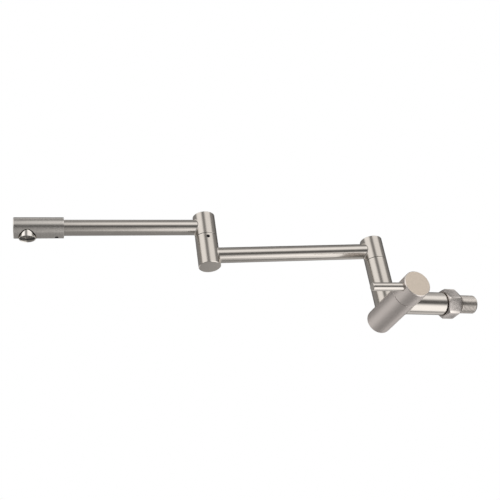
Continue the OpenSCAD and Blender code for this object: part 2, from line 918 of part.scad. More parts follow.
module outlet_nozzle() {
    nozzle_r = nozzle_d / 2;
    neck_r = nozzle_neck_d / 2;
    bore_r = aerator_d / 2;
    color(chrome)
        at_outlet()
            difference() {
                rotate_extrude()
                    polygon([
                        [0, -nozzle_drop],
                        [neck_r - edge_break, -nozzle_drop],
                        [neck_r, edge_break - nozzle_drop],
                        [neck_r, nozzle_top - nozzle_seat_h],
                        [nozzle_r, nozzle_top - nozzle_seat_h],
                        [nozzle_r, nozzle_top],
                        [0, nozzle_top]
                    ]);
                translate([0, 0, -nozzle_drop])
                    cylinder(h = nozzle_mouth_chamfer, r1 = bore_r + nozzle_mouth_chamfer, r2 = bore_r);
                drill(bore_r, -nozzle_drop - cut, aerator_seat);
                drill(aerator_washer_hole_d / 2, -nozzle_drop, nozzle_top + cut);
            }
}

module aerator_washer() {
    color(rubber)
        at_outlet()
            difference() {
                drill(cage_d / 2, aerator_top, aerator_seat);
                drill(aerator_washer_hole_d / 2, aerator_top - cut, aerator_seat + cut);
            }
}

module aerator_cage() {
    lip_top = aerator_bottom + aerator_lip_h;
    color(plastic)
        at_outlet()
            difference() {
                drill(cage_d / 2, aerator_bottom, aerator_top);
                drill(cage_bore_d / 2, lip_top, aerator_top - diffuser_t);
                drill(cage_bore_d / 2 - aerator_lip_w, aerator_bottom - cut, lip_top + cut);
                for (i = [1:diffuser_holes])
                    rotate([0, 0, i * 360 / diffuser_holes])
                        translate([cage_bore_d / 3, 0, 0])
                            drill(diffuser_hole_r, aerator_bottom, aerator_top + cut);
            }
}

module aerator_grid() {
    pitch = (grid_d - grid_bar) / grid_count;
    hole = pitch - grid_bar;
    rim_r = grid_d / 2 - grid_rim_w;
    color(chrome)
        at_outlet()
            translate([0, 0, aerator_bottom + aerator_lip_h])
                linear_extrude(grid_t)
                    difference() {
                        circle(d = grid_d);
                        for (i = [0:grid_count - 1])
                            for (j = [0:grid_count - 1])
                                grid_hole(pitch, hole, rim_r, i, j);
                    }
}

// One square gap of the grid, left out where it would break the rim
module grid_hole(pitch, hole, rim_r, i, j) {
    x = (i - (grid_count - 1) / 2) * pitch;
    y = (j - (grid_count - 1) / 2) * pitch;
    corner = norm([abs(x) + hole / 2, abs(y) + hole / 2]);
    if (corner < rim_r)
        translate([x, y])
            square(hole, center = true);
}

inlet_nipple();
union_washer();
union_nut();
inlet_tube();
valve_body();
cartridge_body();
cartridge_seat_seal();
fixed_ceramic_disc();
turning_ceramic_disc();
cartridge_spindle();
spindle_o_rings();
knob();
lever_rod();
column_tube();
column_set_screw();
column_head();
column_o_rings();
column_washer();
inner_arm_tube();
elbow_socket();
elbow_set_screw();
elbow_head();
elbow_o_rings();
elbow_washer();
outer_arm_tube();
spout_sleeve();
spout_set_screw();
spout_o_ring();
outlet_nozzle();
aerator_washer();
aerator_cage();
aerator_grid();
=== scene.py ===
"""Looks of a wall mounted pot filler with a folding arm: finishes, wall thread, studio and camera.

All lengths are in metres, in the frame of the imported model: +X runs along the inlet into the wall,
+Z up the column and -Y towards the knob.
"""

import json
import logging
import math
from dataclasses import dataclass, field, replace
from enum import Enum
from typing import Any, Mapping, Sequence

import bmesh
import bpy
from mathutils import Matrix, Vector


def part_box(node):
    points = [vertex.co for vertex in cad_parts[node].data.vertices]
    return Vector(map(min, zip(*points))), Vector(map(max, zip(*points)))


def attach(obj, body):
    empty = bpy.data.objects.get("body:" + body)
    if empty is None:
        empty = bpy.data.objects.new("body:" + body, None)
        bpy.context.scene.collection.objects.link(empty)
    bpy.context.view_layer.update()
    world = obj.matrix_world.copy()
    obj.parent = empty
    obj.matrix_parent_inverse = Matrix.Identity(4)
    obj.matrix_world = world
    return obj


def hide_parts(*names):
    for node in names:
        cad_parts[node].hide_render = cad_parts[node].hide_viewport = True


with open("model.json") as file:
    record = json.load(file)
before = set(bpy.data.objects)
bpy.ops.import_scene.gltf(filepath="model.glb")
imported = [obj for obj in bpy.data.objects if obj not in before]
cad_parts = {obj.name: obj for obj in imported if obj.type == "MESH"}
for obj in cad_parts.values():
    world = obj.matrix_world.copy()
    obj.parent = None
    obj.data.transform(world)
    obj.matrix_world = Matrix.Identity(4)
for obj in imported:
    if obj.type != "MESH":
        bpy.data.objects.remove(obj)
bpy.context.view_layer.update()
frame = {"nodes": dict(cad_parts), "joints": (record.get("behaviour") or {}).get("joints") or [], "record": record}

MM = 0.001
MERGE_DISTANCE = 0.001 * MM
SMOOTH_ANGLE = 30.0
IMAGE_SIDE = 500
HALF_TURN = 180.0
WHITE = (1.0, 1.0, 1.0)
WARM_WHITE = (1.02, 1.0, 0.99)
MIX_FACTOR, MIX_FIRST, MIX_SECOND, MIX_COLOUR = 0, 6, 7, 2

log = logging.getLogger("pot_filler")

Colour = tuple[float, float, float]
Operand = "Link | float"


class Link:
    """An output socket. One that gives a number takes part in sums, differences and products."""

    def __init__(self, graph: "Graph", socket: bpy.types.NodeSocket) -> None:
        """Wraps a socket.

        Args:
            graph: The node graph that holds the socket.
            socket: An output socket.
        """
        self.graph = graph
        self.socket = socket

    def _math(self, operation: str, *operands: Operand) -> "Link":
        """Adds a Math node.

        Args:
            operation: The Math node's operation.
            operands: Links or numbers, in the node's order.

        Returns:
            The node's result.
        """
        return self.graph.node("ShaderNodeMath", {"operation": operation}, dict(enumerate(operands)))

    def __add__(self, other: Operand) -> "Link":
        """Adds a link or a number."""
        return self._math("ADD", self, other)

    def __radd__(self, other: Operand) -> "Link":
        """Adds to a number."""
        return self._math("ADD", other, self)

    def __sub__(self, other: Operand) -> "Link":
        """Takes a link or a number away."""
        return self._math("SUBTRACT", self, other)

    def __rsub__(self, other: Operand) -> "Link":
        """Takes this away from a number."""
        return self._math("SUBTRACT", other, self)

    def __mul__(self, other: Operand) -> "Link":
        """Multiplies by a link or a number."""
        return self._math("MULTIPLY", self, other)

    def __rmul__(self, other: Operand) -> "Link":
        """Multiplies a number by this."""
        return self._math("MULTIPLY", other, self)

    def arcsine(self) -> "Link":
        """The angle whose sine this is, in radians."""
        return self._math("ARCSINE", self)

    def absolute(self) -> "Link":
        """The number without its sign."""
        return self._math("ABSOLUTE", self)

    def step(self, low: float, high: float) -> "Link":
        """A smooth step.

        Args:
            low: The value at which the step is 0.
            high: The value at which the step is 1.

        Returns:
            A number from 0 to 1.
        """
        return self.graph.node(
            "ShaderNodeMapRange",
            {"interpolation_type": "SMOOTHSTEP", "clamp": True},
            {"Value": self, "From Min": low, "From Max": high},
        )


class Graph:
    """A node tree that is filled node by node."""

    def __init__(self, owner: Any) -> None:
        """Empties a node tree and wraps it.

        Args:
            owner: The material or the world whose tree it is.
        """
        self.owner = owner
        owner.use_nodes = True
        self.tree = owner.node_tree
        self.tree.nodes.clear()

    @classmethod
    def for_material(cls, label: str) -> "Graph":
        """An empty graph in a new material of that name."""
        return cls(bpy.data.materials.new(label))

    def node(
        self,
        kind: str,
        settings: Mapping[str, Any] | None = None,
        inputs: Mapping[Any, Any] | None = None,
        output: Any = 0,
    ) -> Link:
        """Adds one node.

        Args:
            kind: The node's type name.
            settings: Its properties, set first.
            inputs: Values or links for its sockets, by name or number.
            output: The name or number of the output to hand back.

        Returns:
            A link to that output.
        """
        made = self.tree.nodes.new(kind)
        for name, value in (settings or {}).items():
            setattr(made, name, value)
        for key, value in (inputs or {}).items():
            if isinstance(value, Link):
                self.tree.links.new(value.socket, made.inputs[key])
            else:
                made.inputs[key].default_value = value
        return Link(self, made.outputs[output])

    def vector_maths(self, operation: str, left: Any, right: Any, output: int = 0) -> Link:
        """Adds a Vector Math node.

        Args:
            operation: The node's operation.
            left: A link or a vector.
            right: A link or a vector.
            output: 0 for a vector, 1 for a number.

        Returns:
            The node's result.
        """
        return self.node("ShaderNodeVectorMath", {"operation": operation}, {0: left, 1: right}, output)

    def mix_colours(self, factor: Operand, first: Any, second: Any) -> Link:
        """Blends two colours.

        Args:
            factor: 0 for the first, 1 for the second.
            first: A link or a colour.
            second: A link or a colour.

        Returns:
            The blended colour.
        """
        sockets = {MIX_FACTOR: factor, MIX_FIRST: self._rgba(first), MIX_SECOND: self._rgba(second)}
        return self.node("ShaderNodeMix", {"data_type": "RGBA"}, sockets, MIX_COLOUR)

    @staticmethod
    def _rgba(colour: Any) -> Any:
        """Gives a plain colour its fourth number, and leaves a link alone."""
        return colour if isinstance(colour, Link) else (*colour, 1.0)

    def place(self, axis: "Axis") -> Link:
        """Object coordinates that are counted from an axis, with Z along it.

        Args:
            axis: The axis.

        Returns:
            The coordinates.
        """
        return self.node("ShaderNodeMapping", {"vector_type": "TEXTURE"}, {
            "Vector": self.node("ShaderNodeTexCoord", output="Object"),
            "Location": axis.point,
            "Rotation": axis.turn().to_euler(),
        })

    def away(self, place: Link) -> Link:
        """The distance of counted coordinates from their Z axis."""
        return self.vector_maths("LENGTH", self.vector_maths("MULTIPLY", place, (1, 1, 0)), (0, 0, 0), 1)

    def noise(self, place: Link, scale: float, fourth: Link | None = None) -> Link:
        """Adds a noise.

        Args:
            place: Its coordinates.
            scale: Its scale.
            fourth: A fourth coordinate, already scaled.

        Returns:
            A number about 0.5.
        """
        inputs = {"Vector": place, "Scale": scale, "Detail": 3.0, "Roughness": 0.6}
        if fourth is None:
            return self.node("ShaderNodeTexNoise", {"noise_dimensions": "3D"}, inputs)
        return self.node("ShaderNodeTexNoise", {"noise_dimensions": "4D"}, {**inputs, "W": fourth})

    def end(self, kind: str, shader: Link) -> None:
        """Links a shader to a new output node.

        Args:
            kind: The output node's type name.
            shader: The shader that shows.
        """
        self.tree.links.new(shader.socket, self.tree.nodes.new(kind).inputs["Surface"])


@dataclass(frozen=True)
class Axis:
    """A line in the model that pieces are turned about."""

    point: Vector
    direction: Vector

    def turn(self) -> Matrix:
        """The rotation that takes +Z to the line's direction."""
        return self.direction.to_track_quat("Z", "Y").to_matrix()

    def nearest(self, point: Vector) -> Vector:
        """The point of the line that is nearest to another point."""
        return self.point + (point - self.point).dot(self.direction) * self.direction


class Lines(Enum):
    """The marks that polishing leaves on a metal."""

    RINGS = "rings"
    GRAIN = "grain"


@dataclass(frozen=True)
class Surface:
    """The links that make up one finish before its shader."""

    colour: Link
    roughness: Link
    height: Link

    def under(self, mask: Link, other: "Surface") -> "Surface":
        """Covers this finish by another one.

        Args:
            mask: 0 where this finish shows, 1 where the other does.
            other: The finish that covers it.

        Returns:
            The two finishes as one.
        """
        graph = mask.graph
        return Surface(
            graph.mix_colours(mask, self.colour, other.colour),
            self.roughness + mask * (other.roughness - self.roughness),
            self.height + mask * (other.height - self.height),
        )


@dataclass(frozen=True)
class Finish:
    """A finish with polishing marks or grain, and faint clouds in its shade and gloss."""

    label: str
    colour: Colour
    roughness: float
    metallic: float = 1.0
    lines: Lines = Lines.RINGS
    shade_spread: float = 0.06
    roughness_spread: float = 0.08
    mark_size: float = 0.5 * MM
    mark_length: float = 9.0 * MM
    mark_depth: float = 0.02 * MM
    cloud_size: float = 9.0 * MM
    rim_core: float = 0.3 * MM
    rim_reach: float = 1.6 * MM
    highlight_gain: float = 1.16
    highlight_limit: float = 0.9
    highlight_roughness: float = 0.75

    def surface(self, graph: "Graph", place: Link) -> Surface:
        """Adds the finish's nodes.

        Args:
            graph: The material's graph.
            place: Coordinates whose Z runs along the piece's axis.

        Returns:
            The finish's links.
        """
        fine, coarse = 1.0 / self.mark_size, 1.0 / self.mark_length
        if self.lines is Lines.RINGS:
            stretched = graph.vector_maths("MULTIPLY", place, (coarse, coarse, fine))
            marks = graph.noise(stretched, 1.0, graph.away(place) * fine)
        else:
            marks = graph.noise(place, fine)
        clouds = graph.noise(place, 1.0 / self.cloud_size)
        uneven = (marks + clouds) - 1.0
        # Half way from black to twice the colour is the colour itself.
        doubled = tuple(2 * channel for channel in self.colour)
        return Surface(
            graph.mix_colours(uneven * self.shade_spread + 0.5, (0, 0, 0), doubled),
            uneven * self.roughness_spread + self.roughness,
            marks * self.mark_depth,
        )

    def material(self, axis: Axis, rims: Sequence[float] = ()) -> bpy.types.Material:
        """Makes the material for pieces on one axis.

        Args:
            axis: The axis that the polishing marks run round.
            rims: Places along the axis where an edge is painted brighter and made smoother, as a painted
                highlight.

        Returns:
            The material.
        """
        graph = Graph.for_material(self.label)
        place = graph.place(axis)
        surface = self.surface(graph, place)
        if rims:
            along = graph.node("ShaderNodeSeparateXYZ", {}, {"Vector": place}, "Z")
            # Each rim is painted brighter and made smoother: a painted highlight along the edge.
            bright = self.painted_highlight_finish().surface(graph, place)
            for rim in rims:
                painted_highlight = 1.0 - (along - rim).absolute().step(self.rim_core, self.rim_reach)
                surface = surface.under(painted_highlight, bright)
        return self.shade(graph, surface)

    def painted_highlight_finish(self) -> "Finish":
        """The same finish, made smoother and painted brighter: a painted highlight for edges."""
        bright = tuple(min(self.highlight_limit, self.highlight_gain * channel) for channel in self.colour)
        return replace(self, colour=bright, roughness=self.highlight_roughness * self.roughness)

    def shade(self, graph: "Graph", surface: Surface) -> bpy.types.Material:
        """Ends a material with its shader.

        Args:
            graph: The material's graph.
            surface: The links to show.

        Returns:
            The material.
        """
        shader = graph.node("ShaderNodeBsdfPrincipled", {}, {
            "Base Color": surface.colour,
            "Metallic": self.metallic,
            "Roughness": surface.roughness,
            "Normal": graph.node("ShaderNodeBump", {}, {"Distance": 1.0, "Height": surface.height}),
        })
        graph.end("ShaderNodeOutputMaterial", shader)
        return graph.owner


class Nickel(Enum):
    """The brushed nickel's finishes, one for each way a piece was polished. Their colours also differ in
    brightness from piece to piece, as painted light and shade.
    """

    # Colour brightness is set piece by piece as painted light and shade: POST and NUT are darker copies, SLEEVE
    # and SATIN lighter ones.
    TUBE = Finish("brushed_nickel", (0.66, 0.625, 0.58), 0.17)
    POST = Finish("polished_nickel", (0.58, 0.547, 0.503), 0.19)
    SLEEVE = Finish("sleeve_nickel", (0.72, 0.69, 0.65), 0.23)
    SATIN = Finish("satin_nickel", (0.72, 0.67, 0.635), 0.46, mark_depth=0.012 * MM)
    FACE = Finish(
        "facing_nickel", (0.68, 0.60, 0.51), 0.42,
        shade_spread=0.12, mark_size=0.35 * MM, cloud_size=5.0 * MM,
    )
    NUT = Finish(
        "tumbled_nickel", (0.55, 0.515, 0.49), 0.26, lines=Lines.GRAIN, shade_spread=0.55,
        roughness_spread=0.2, mark_size=1.3 * MM, mark_depth=0.07 * MM, cloud_size=4.0 * MM,
    )
    THREAD = Finish("threaded_nickel", (0.66, 0.62, 0.575), 0.2, mark_depth=0.005 * MM)
    # Lighter, smoother nickel for the nut's corners: a painted highlight.
    PAINTED_HIGHLIGHT = Finish("painted_highlight_nickel", (0.84, 0.79, 0.74), 0.2, mark_depth=0.01 * MM)
    BEAD = Finish("brazed_nickel", (0.70, 0.66, 0.61), 0.24, lines=Lines.GRAIN, mark_depth=0.03 * MM)


INNER_FINISHES: dict[str, Finish] = {
    "chrome": Finish(
        "polished_chrome", (0.77, 0.745, 0.70), 0.05,
        shade_spread=0.03, roughness_spread=0.02, mark_depth=0.002 * MM,
    ),
    # The brass is darkened to paint the shade in the gap between the knob and the valve body, where the cartridge
    # shows.
    "brass": Finish("turned_brass", (0.46, 0.34, 0.17), 0.45),
    "rubber": Finish("black_rubber", (0.03, 0.03, 0.03), 0.6, 0.0, Lines.GRAIN),
    "nylon": Finish("dark_nylon", (0.05, 0.05, 0.05), 0.5, 0.0, Lines.GRAIN),
    "ceramic": Finish("white_ceramic", (0.85, 0.84, 0.81), 0.2, 0.0, Lines.GRAIN, mark_depth=0.002 * MM),
    "dark_steel": Finish("black_steel", (0.05, 0.05, 0.055), 0.4, 1.0, Lines.GRAIN),
    "aerator_plastic": Finish("grey_plastic", (0.05, 0.05, 0.052), 0.4, 0.0, Lines.GRAIN),
}


def direction(azimuth: float, elevation: float) -> Vector:
    """A unit vector.

    Args:
        azimuth: Degrees from +Y towards +X.
        elevation: Degrees above the horizon.

    Returns:
        The vector.
    """
    turn, climb = math.radians(azimuth), math.radians(elevation)
    return Vector((math.sin(turn) * math.cos(climb), math.cos(turn) * math.cos(climb), math.sin(climb)))


@dataclass(frozen=True)
class SoftBox:
    """A soft box, white sheet or dark board round the set, as polished metal sees it.

    Angles are in degrees: its middle, its half sizes and the softness of its edges.
    """

    azimuth: float
    elevation: float
    half_width: float
    half_height: float
    brightness: float
    softness: float = 12.0
    tint: Colour = WARM_WHITE

    def mask(self, graph: Graph, heading: Link, height: Link) -> Link:
        """Where the patch shows.

        Args:
            graph: The world's graph.
            heading: The unit vector of the level part of the ray's direction.
            height: The ray's elevation in degrees.

        Returns:
            A number from 0 outside to 1 inside.
        """
        foot = self.elevation - self.half_height
        head = self.elevation + self.half_height
        low = height.step(foot - self.softness, foot + self.softness)
        high = height.step(head - self.softness, head + self.softness)
        tall = low * (1.0 - high)
        if self.half_width >= HALF_TURN:
            return tall
        turn = graph.vector_maths("DOT_PRODUCT", heading, direction(self.azimuth, 0.0), 1)
        outer = math.cos(math.radians(min(HALF_TURN, self.half_width + self.softness)))
        inner = math.cos(math.radians(max(0.0, self.half_width - self.softness)))
        return turn.step(outer, inner) * tall


@dataclass
class Studio:
    """A plain pale studio: white backdrop, soft boxes and dark boards for the metal, pale floor.

    Each light is placed by the streak or face that it lights. The front box gives the posts
    their right streak and the arms their upper one, the left box the posts' left streak, and the low
    sheet the arms' lower streak. The back and side sheets light the valve body. The dark boards stand
    for the unlit room beside the camera and behind the set, and give the tubes their dark lines and
    edges. The wings and the ceiling light the sides and the top, which the camera hardly sees.
    """

    floor_centre: tuple[float, float] = (-0.23, 0.03)
    floor_height: float = -0.72
    floor_side: float = 12.0
    floor_colour: Colour = (0.86, 0.86, 0.86)
    fade_start: float = 0.9
    fade_end: float = 2.6
    plain_level: float = 0.6
    lamp_power: float = 22.0
    lamp_side: float = 1.6
    lamp_place: Vector = field(default_factory=lambda: Vector((-0.9, -1.2, 1.9)))
    lamp_target: Vector = field(default_factory=lambda: Vector((-0.25, 0.03, 0.05)))
    room_level: float = 0.3
    front_box: SoftBox = SoftBox(156, 30, 28, 20, 1.15)
    left_box: SoftBox = SoftBox(-114, 25, 26, 20, 1.25)
    low_sheet: SoftBox = SoftBox(115, -54, 55, 20, 1.4)
    back_sheet: SoftBox = SoftBox(-38, -5, 26, 22, 0.76)
    side_sheet: SoftBox = SoftBox(46, -26, 18, 13, 0.8)
    right_wing: SoftBox = SoftBox(90, 48, 30, 6, 0.9)
    left_wing: SoftBox = SoftBox(-90, 55, 50, 12, 1.0)
    ceiling: SoftBox = SoftBox(0, 95, 180, 12, 0.7)
    camera_board: SoftBox = SoftBox(170, -12, 45, 13, 0.12)
    back_board: SoftBox = SoftBox(35, 42, 50, 30, 0.15)

    def build(self) -> None:
        """Makes the world, the floor and the lamp."""
        self._world()
        self._floor()
        self._lamp()

    def _world(self) -> None:
        """Makes the world: plain for dull surfaces, patterned for polished metal, white behind."""
        world = bpy.data.worlds.new("studio")
        bpy.context.scene.world = world
        world.cycles.sampling_method = "NONE"
        graph = Graph(world)
        ray = graph.node("ShaderNodeTexCoord", output="Generated")
        level = graph.vector_maths("MULTIPLY", ray, Vector((1.0, 1.0, 0.0)))
        heading = graph.vector_maths("NORMALIZE", level, Vector())
        height = graph.node("ShaderNodeSeparateXYZ", {}, {"Vector": ray}, "Z").arcsine() * math.degrees(1.0)
        shade: Any = tuple(self.room_level * channel for channel in WARM_WHITE)
        boards = (self.camera_board, self.back_board)
        sheets = (self.back_sheet, self.side_sheet, self.low_sheet)
        above = (self.ceiling, self.right_wing, self.left_wing)
        for box in (*boards, *sheets, *above, self.front_box, self.left_box):
            colour = tuple(box.brightness * channel for channel in box.tint)
            shade = graph.mix_colours(box.mask(graph, heading, height), shade, colour)
        glossy, straight, through = (
            graph.node("ShaderNodeLightPath", output=f"Is {kind} Ray")
            for kind in ("Glossy", "Camera", "Transmission")
        )
        seen = graph.mix_colours(glossy, (self.plain_level,) * 3, shade)
        seen = graph.mix_colours(straight + through, seen, WHITE)
        sky = graph.node("ShaderNodeBackground", {}, {"Color": seen, "Strength": 1.0})
        graph.end("ShaderNodeOutputWorld", sky)

    def _floor(self) -> None:
        """Makes the pale floor, which fades into the white backdrop far from the object."""
        bm = bmesh.new()
        bmesh.ops.create_grid(bm, x_segments=1, y_segments=1, size=self.floor_side / 2)
        bmesh.ops.translate(bm, verts=bm.verts, vec=Vector((*self.floor_centre, self.floor_height)))
        floor = new_object("floor", bm)
        floor.visible_glossy = False
        floor.data.materials.append(self._floor_material())

    def _floor_material(self) -> bpy.types.Material:
        """Makes the floor's material: pale and matt, white far away, and clear from below.

        Returns:
            The material.
        """
        graph = Graph.for_material("pale_floor")
        place = graph.node("ShaderNodeTexCoord", output="Object")
        far = graph.away(place).step(self.fade_start, self.fade_end)
        dull = graph.node("ShaderNodeBsdfDiffuse", {}, {"Color": (*self.floor_colour, 1.0)})
        white = graph.node("ShaderNodeEmission", {}, {"Color": (*WHITE, 1.0), "Strength": 1.0})
        clear = graph.node("ShaderNodeBsdfTransparent")
        faded = graph.node("ShaderNodeMixShader", {}, {0: far, 1: dull, 2: white})
        under = graph.node("ShaderNodeNewGeometry", output="Backfacing")
        shown = graph.node("ShaderNodeMixShader", {}, {0: under, 1: faded, 2: clear})
        graph.end("ShaderNodeOutputMaterial", shown)
        return graph.owner

    def _lamp(self) -> None:
        """Makes the soft lamp that gives dull surfaces and the floor their light."""
        data = bpy.data.lights.new("soft_lamp", "AREA")
        data.shape = "SQUARE"
        data.size = self.lamp_side
        data.energy = self.lamp_power
        lamp = bpy.data.objects.new("soft_lamp", data)
        bpy.context.scene.collection.objects.link(lamp)
        lamp.location = self.lamp_place
        lamp.rotation_euler = (self.lamp_target - self.lamp_place).to_track_quat("-Z", "Y").to_euler()
        lamp.visible_glossy = False


@dataclass
class PhotoCamera:
    """The camera, low in front of the knob and turned up towards the arms.

    Its place and lens come from a fit to the edges of the tubes in the photo. Angles are in degrees,
    the lens and sensor in millimetres and the depth in metres. seen_right and seen_down are where the
    target shows, in pixels from the picture's top left corner.
    """

    heading: float = 23.30
    climb: float = 29.30
    roll: float = -9.08
    lens: float = 59.1
    sensor: float = 36.0
    depth: float = 0.94393
    seen_right: float = 388.06
    seen_down: float = 312.46
    clip_near: float = 0.01
    clip_far: float = 50.0

    def build(self, target: Vector) -> None:
        """Makes the camera.

        Args:
            target: The crossing of the column's and the valve's axes, which the picture places.
        """
        forward = direction(self.heading, self.climb)
        level = direction(self.heading + 90.0, 0.0)
        upright = level.cross(forward)
        tilt = math.radians(self.roll)
        right = math.cos(tilt) * level + math.sin(tilt) * upright
        up = math.cos(tilt) * upright - math.sin(tilt) * level
        spread = self.sensor / self.lens / IMAGE_SIDE * self.depth
        across = (self.seen_right - IMAGE_SIDE / 2) * spread
        down = (self.seen_down - IMAGE_SIDE / 2) * spread
        data = bpy.data.cameras.new("photo_camera")
        data.lens, data.sensor_width = self.lens, self.sensor
        data.clip_start, data.clip_end = self.clip_near, self.clip_far
        camera = bpy.data.objects.new("photo_camera", data)
        bpy.context.scene.collection.objects.link(camera)
        turn = Matrix((right, up, -forward)).transposed().to_4x4()
        stand = target - across * right + down * up - self.depth * forward
        camera.matrix_world = Matrix.Translation(stand) @ turn
        bpy.context.scene.camera = camera


def new_object(name: str, bm: bmesh.types.BMesh) -> bpy.types.Object:
    """Turns a finished bmesh into an object at the origin.

    Args:
        name: The object's name.
        bm: The bmesh, which is freed.

    Returns:
        The object.
    """
    mesh = bpy.data.meshes.new(name)
    bm.to_mesh(mesh)
    bm.free()
    made = bpy.data.objects.new(name, mesh)
    bpy.context.scene.collection.objects.link(made)
    return made


def node_copy(node: str) -> bmesh.types.BMesh:
    """Copies a CAD node's mesh and merges its doubles.

    Args:
        node: The node's name.

    Returns:
        The copy.
    """
    bm = bmesh.new()
    bm.from_mesh(frame["nodes"][node].data)
    bmesh.ops.remove_doubles(bm, verts=bm.verts, dist=MERGE_DISTANCE)
    return bm


def seat_piece(
    piece: bpy.types.Object, node: str, material: bpy.types.Material, stands_for: bool = True,
) -> None:
    """Seats a finished piece on a CAD node's body.

    Args:
        piece: The piece.
        node: The node it goes with.
        material: Its material.
        stands_for: Whether it replaces the node, or sits on it.
    """
    bodies = frame["record"]["behaviour"]["bodies"]
    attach(piece, next(body for body, nodes in bodies.items() if node in nodes))
    next(p["material_slot"] for p in frame["record"]["subparts"] if p["node"] == node)
    if stands_for:
        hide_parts(node)
    piece.data.materials.clear()
    piece.data.materials.append(material)
    piece.data.shade_smooth()
    piece.data.set_sharp_from_angle(angle=math.radians(SMOOTH_ANGLE))
    how = "in place of" if stands_for else "on"
    log.info("%s: %d faces, %s, %s %s", piece.name, len(piece.data.polygons), material.name, how, node)


def dress(node: str, material: bpy.types.Material) -> None:
    """Gives a CAD node one material.

    Args:
        node: The node's name.
        material: The material.
    """
    for slot in frame["nodes"][node].material_slots:
        slot.material = material
    log.info("%s: %s", node, material.name)


def joint_place(name: str) -> Vector:
    """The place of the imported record's joint of that name."""
    return Vector(next(joint["pos_m"] for joint in frame["joints"] if joint["name"] == name))


def centre(node: str) -> Vector:
    """The middle of a node's box."""
    low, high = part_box(node)
    return (low + high) / 2


def radius_from(axis: Axis, point: Vector) -> float:
    """The distance of a point from an axis."""
    return (point - axis.point).cross(axis.direction).length


def size_across(node: str, direction_index: int) -> float:
    """The size of a CAD node's box along X, Y or Z, by its number."""
    low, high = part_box(node)
    return high[direction_index] - low[direction_index]


def span(node: str, axis: Axis) -> tuple[float, float]:
    """A CAD node's first and last place along an axis."""
    places = [(vert.co - axis.point).dot(axis.direction) for vert in frame["nodes"][node].data.vertices]
    return min(places), max(places)


class Layout:
    """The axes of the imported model, taken from its joints and boxes."""

    def __init__(self) -> None:
        """Reads the axes."""
        valve, elbow = joint_place("handle_turn"), joint_place("elbow_swivel")
        self.inlet = Axis(Vector((0.0, 0.0, 0.0)), Vector((1.0, 0.0, 0.0)))
        self.valve = Axis(valve, Vector((0.0, -1.0, 0.0)))
        self.column = Axis(valve, Vector((0.0, 0.0, 1.0)))
        self.elbow = Axis(elbow, Vector((0.0, 0.0, 1.0)))
        self.inner_arm = self._arm(valve, centre("inner_arm_tube"))
        self.outer_arm = self._arm(elbow, centre("outer_arm_tube"))
        outlet = centre("outlet_nozzle")
        foot = self.outer_arm.nearest(outlet)
        self.outlet = Axis(foot, (outlet - foot).normalized())
        lever = centre("lever_rod")
        self.lever = Axis(lever, Vector((lever.x - valve.x, 0.0, lever.z - valve.z)).normalized())

    @staticmethod
    def _arm(post: Vector, middle: Vector) -> Axis:
        """The axis of a level arm from a post through the middle of its tube."""
        first = Vector((post.x, post.y, middle.z))
        return Axis(first, (middle - first).normalized())


@dataclass(frozen=True)
class BrazeBead:
    """The bead of braze, with a hollow face, in the corner where a round arm leaves a round post."""

    name: str
    node: str
    post: Axis
    post_radius: float
    arm: Axis
    arm_radius: float
    leg: float = 0.9 * MM
    bite: float = 0.1 * MM
    sink: float = 0.02 * MM
    round_steps: int = 120
    hollow_steps: int = 4

    def build(self) -> None:
        """Makes the bead as a closed ring round the arm and seats it on its node."""
        bm = bmesh.new()
        ring = bmesh.ops.create_circle(bm, segments=self.round_steps, radius=1.0)["verts"]
        turns = {vert: math.atan2(vert.co.y, vert.co.x) for vert in ring}
        first = edges = bm.edges[:]
        self._shape(turns, self.arm_radius - self.bite, self.post_radius - self.bite)
        for step in range(self.hollow_steps + 1):
            lean = math.radians(90.0) * step / self.hollow_steps
            made = bmesh.ops.extrude_edge_only(bm, edges=edges)["geom"]
            edges = [item for item in made if isinstance(item, bmesh.types.BMEdge)]
            turns = self._turns([item for item in made if isinstance(item, bmesh.types.BMVert)])
            self._shape(
                turns,
                self.arm_radius + self.leg * (1.0 - math.cos(lean)) - self.sink,
                self.post_radius + self.leg * (1.0 - math.sin(lean)) - self.sink,
            )
        bmesh.ops.bridge_loops(bm, edges=first + edges)
        bmesh.ops.recalc_face_normals(bm, faces=bm.faces)
        material = Nickel.BEAD.value.material(self.arm)
        seat_piece(new_object(self.name, bm), self.node, material, stands_for=False)

    def _side(self) -> Vector:
        """The level direction across the arm."""
        return self.arm.direction.cross(self.post.direction)

    def _turns(self, verts: Sequence[bmesh.types.BMVert]) -> dict[bmesh.types.BMVert, float]:
        """Reads the points' angles round the arm.

        Args:
            verts: The points.

        Returns:
            The points with their angles.
        """
        up, side = self.post.direction, self._side()
        return {
            vert: math.atan2((vert.co - self.arm.point).dot(up), (vert.co - self.arm.point).dot(side))
            for vert in verts
        }

    def _shape(
        self, turns: Mapping[bmesh.types.BMVert, float], arm_radius: float, post_radius: float,
    ) -> None:
        """Moves a ring of points to a distance from the arm's axis and a distance from the post's axis.

        Args:
            turns: The points and their angles round the arm.
            arm_radius: The distance from the arm's axis.
            post_radius: The distance from the post's axis.
        """
        for vert, turn in turns.items():
            across = arm_radius * math.cos(turn)
            out = math.sqrt(post_radius ** 2 - across ** 2)
            vert.co = (
                self.arm.point + across * self._side() + arm_radius * math.sin(turn) * self.post.direction
                + out * self.arm.direction
            )


